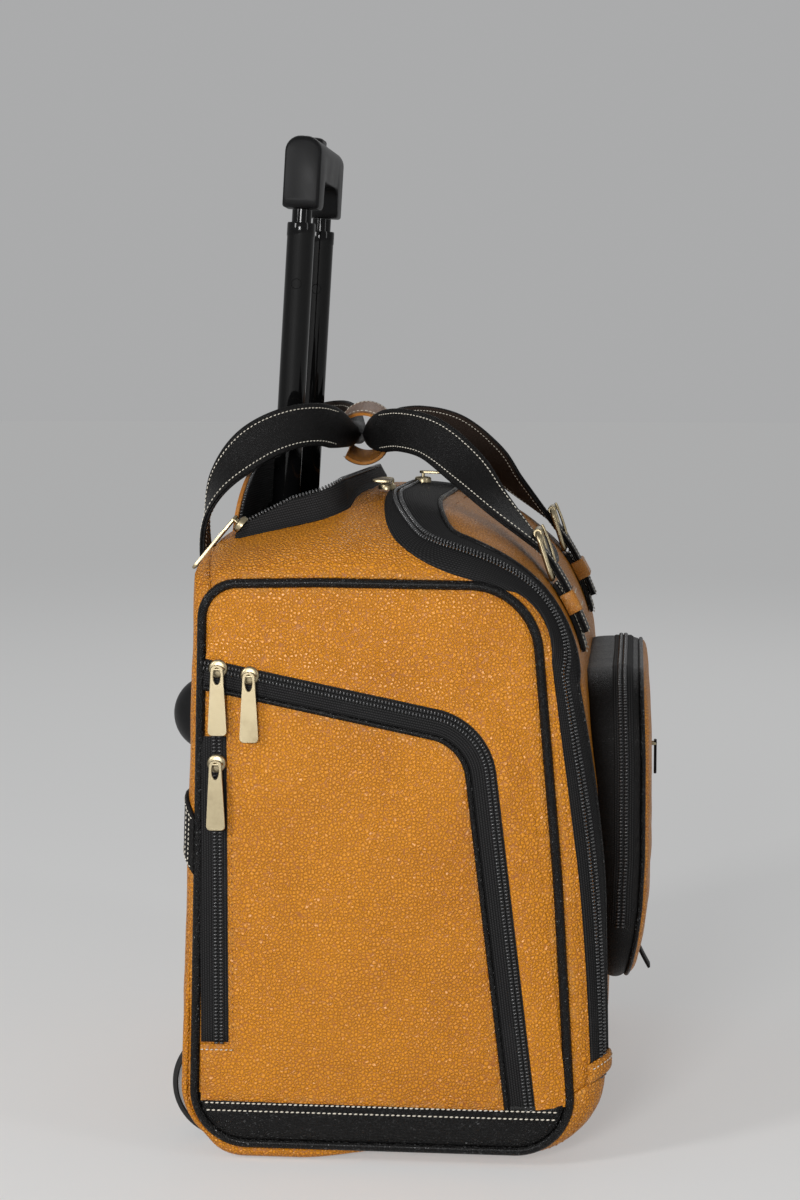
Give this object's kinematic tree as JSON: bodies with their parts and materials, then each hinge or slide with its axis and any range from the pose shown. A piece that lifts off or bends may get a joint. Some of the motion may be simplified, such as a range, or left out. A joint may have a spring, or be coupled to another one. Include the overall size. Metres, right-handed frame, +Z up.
{
  "type": "pilot rolling flight case",
  "caption": "Upright leather flight case on wheels, with a telescopic trolley handle, strap carry handles, a zipped lid that opens forward and zipped outer pockets.",
  "frame": {"origin": "on the floor under the middle of the case's overall box", "axes": "+Z up, +X towards the lid and the front pocket, -Y towards the side with the zipped side pocket"},
  "size_m": [0.3418, 0.4558, 0.7127],
  "materials": {
    "tan_leather": "pebbled amber leather with a soft sheen",
    "black_leather": "smooth black leather",
    "zip_tape": "woven black tape with moulded black teeth",
    "antique_brass": "antique brass, dull in the hollows",
    "gloss_tube": "gloss black",
    "black_plastic": "satin black moulding",
    "tyre_rubber": "dark matt rubber",
    "wheel_grey": "grey moulding",
    "axle_steel": "plain steel",
    "lining_board": "board covered in dark lining"
  },
  "bodies": {
    "case": {"axle_far": "axle_steel", "axle_near": "axle_steel", "back_panel": "tan_leather", "bottom_panel": "tan_leather", "bumper_far": "black_plastic", "bumper_near": "black_plastic", "divider": "lining_board", "far_front_gusset": "tan_leather", "far_side_panel": "tan_leather", "front_foot_far": "black_plastic", "front_foot_near": "black_plastic", "main_zip_case": "zip_tape", "near_front_gusset": "tan_leather", "near_side_panel": "tan_leather", "outer_tube_far": "gloss_tube", "outer_tube_near": "gloss_tube", "rear_band": "black_leather", "rear_handle": "black_leather", "side_pocket_panel": "tan_leather", "side_pocket_zip": "zip_tape", "side_slot_zip": "zip_tape", "slot_flap": "tan_leather", "slot_zip_front": "zip_tape", "slot_zip_rear": "zip_tape", "top_panel": "tan_leather", "trolley_base": "black_plastic", "wheel_housing_far": "black_plastic", "wheel_housing_near": "black_plastic"},
    "lid": {"buckle_far": "antique_brass", "buckle_near": "antique_brass", "front_handle": "black_leather", "handle_wrap": "tan_leather", "keeper_far": "tan_leather", "keeper_near": "tan_leather", "lid_panel": "tan_leather", "main_zip_lid": "zip_tape", "pocket_gusset": "tan_leather", "pocket_zip": "zip_tape", "strap_base_far": "black_leather", "strap_base_near": "black_leather"},
    "front_pocket": {"pocket_cover": "tan_leather", "pocket_tab": "black_leather"},
    "middle_stage": {"middle_tube_far": "gloss_tube", "middle_tube_near": "gloss_tube"},
    "inner_stage": {"inner_tube_far": "gloss_tube", "inner_tube_near": "gloss_tube", "trolley_grip": "black_plastic"},
    "release_button": {"grip_button": "black_plastic"},
    "wheel_near": {"tyre_near": "tyre_rubber", "hub_near": "wheel_grey"},
    "wheel_far": {"tyre_far": "tyre_rubber", "hub_far": "wheel_grey"},
    "slot_slider": {"slot_slider": "antique_brass"},
    "slot_pull": {"slot_pull": "antique_brass"},
    "side_pull_1": {"side_pull_1": "antique_brass"},
    "side_pull_2": {"side_pull_2": "antique_brass"},
    "trolley_pull": {"trolley_pull": "antique_brass"},
    "main_pull_case": {"main_pull_case": "antique_brass"},
    "main_pull_lid": {"main_pull_lid": "antique_brass"},
    "pocket_pull": {"pocket_pull": "black_leather"}
  },
  "joints": [
    {"name": "lid_hinge", "type": "hinge", "parent": "case", "child": "lid", "pos_m": [0.13391, 0.00466, 0.06517], "axis": [0, 1, 0], "range_deg": [0, 90]},
    {"name": "pocket_hinge", "type": "hinge", "parent": "lid", "child": "front_pocket", "pos_m": [0.157, 0.00466, 0.108], "axis": [0, 1, 0], "range_deg": [0, 90]},
    {"name": "middle_slide", "type": "slide", "parent": "case", "child": "middle_stage", "axis": [0.0611, 0, 0.9981], "range_m": [-0.185, 0]},
    {"name": "inner_slide", "type": "slide", "parent": "middle_stage", "child": "inner_stage", "axis": [0.0611, 0, 0.9981], "range_m": [0, 0.2]},
    {"name": "button_press", "type": "slide", "parent": "inner_stage", "child": "release_button", "axis": [-0.0611, 0, -0.9981], "range_m": [0, 0.003], "stiffness_N_per_m": 800},
    {"name": "wheel_near_spin", "type": "hinge", "parent": "case", "child": "wheel_near", "pos_m": [-0.1319, -0.16034, 0.039], "axis": [0, 1, 0], "continuous": true},
    {"name": "wheel_far_spin", "type": "hinge", "parent": "case", "child": "wheel_far", "pos_m": [-0.1319, 0.16966, 0.039], "axis": [0, 1, 0], "continuous": true},
    {"name": "slot_slider_run", "type": "slide", "parent": "case", "child": "slot_slider", "axis": [0, 0, -1], "range_m": [0, 0.18]},
    {"name": "slot_pull_swing", "type": "hinge", "parent": "slot_slider", "child": "slot_pull", "pos_m": [-0.1284, -0.22574, 0.276], "axis": [-1, 0, 0], "range_deg": [0, 165]},
    {"name": "side_pull_1_swing", "type": "hinge", "parent": "case", "child": "side_pull_1", "pos_m": [-0.1269, -0.22534, 0.34037], "axis": [-1, 0, 0], "range_deg": [0, 165]},
    {"name": "side_pull_2_swing", "type": "hinge", "parent": "case", "child": "side_pull_2", "pos_m": [-0.1054, -0.22534, 0.33594], "axis": [-1, 0, 0], "range_deg": [0, 165]},
    {"name": "trolley_pull_swing", "type": "hinge", "parent": "case", "child": "trolley_pull", "pos_m": [-0.12649, -0.15302, 0.43708], "axis": [0, 1, 0], "range_deg": [0, 90]},
    {"name": "main_pull_case_swing", "type": "hinge", "parent": "case", "child": "main_pull_case", "pos_m": [-0.0276, -0.07147, 0.46203], "axis": [-0.9984, 0, 0.0558], "range_deg": [0, 70]},
    {"name": "main_pull_lid_swing", "type": "hinge", "parent": "lid", "child": "main_pull_lid", "pos_m": [-0.01363, 0.0647, 0.46126], "axis": [0.0002, -1, 0.0034], "range_deg": [0, 90]},
    {"name": "pocket_pull_swing", "type": "hinge", "parent": "front_pocket", "child": "pocket_pull", "pos_m": [0.1671, -0.07534, 0.272], "axis": [0, -1, 0], "range_deg": [0, 150]}
  ]
}
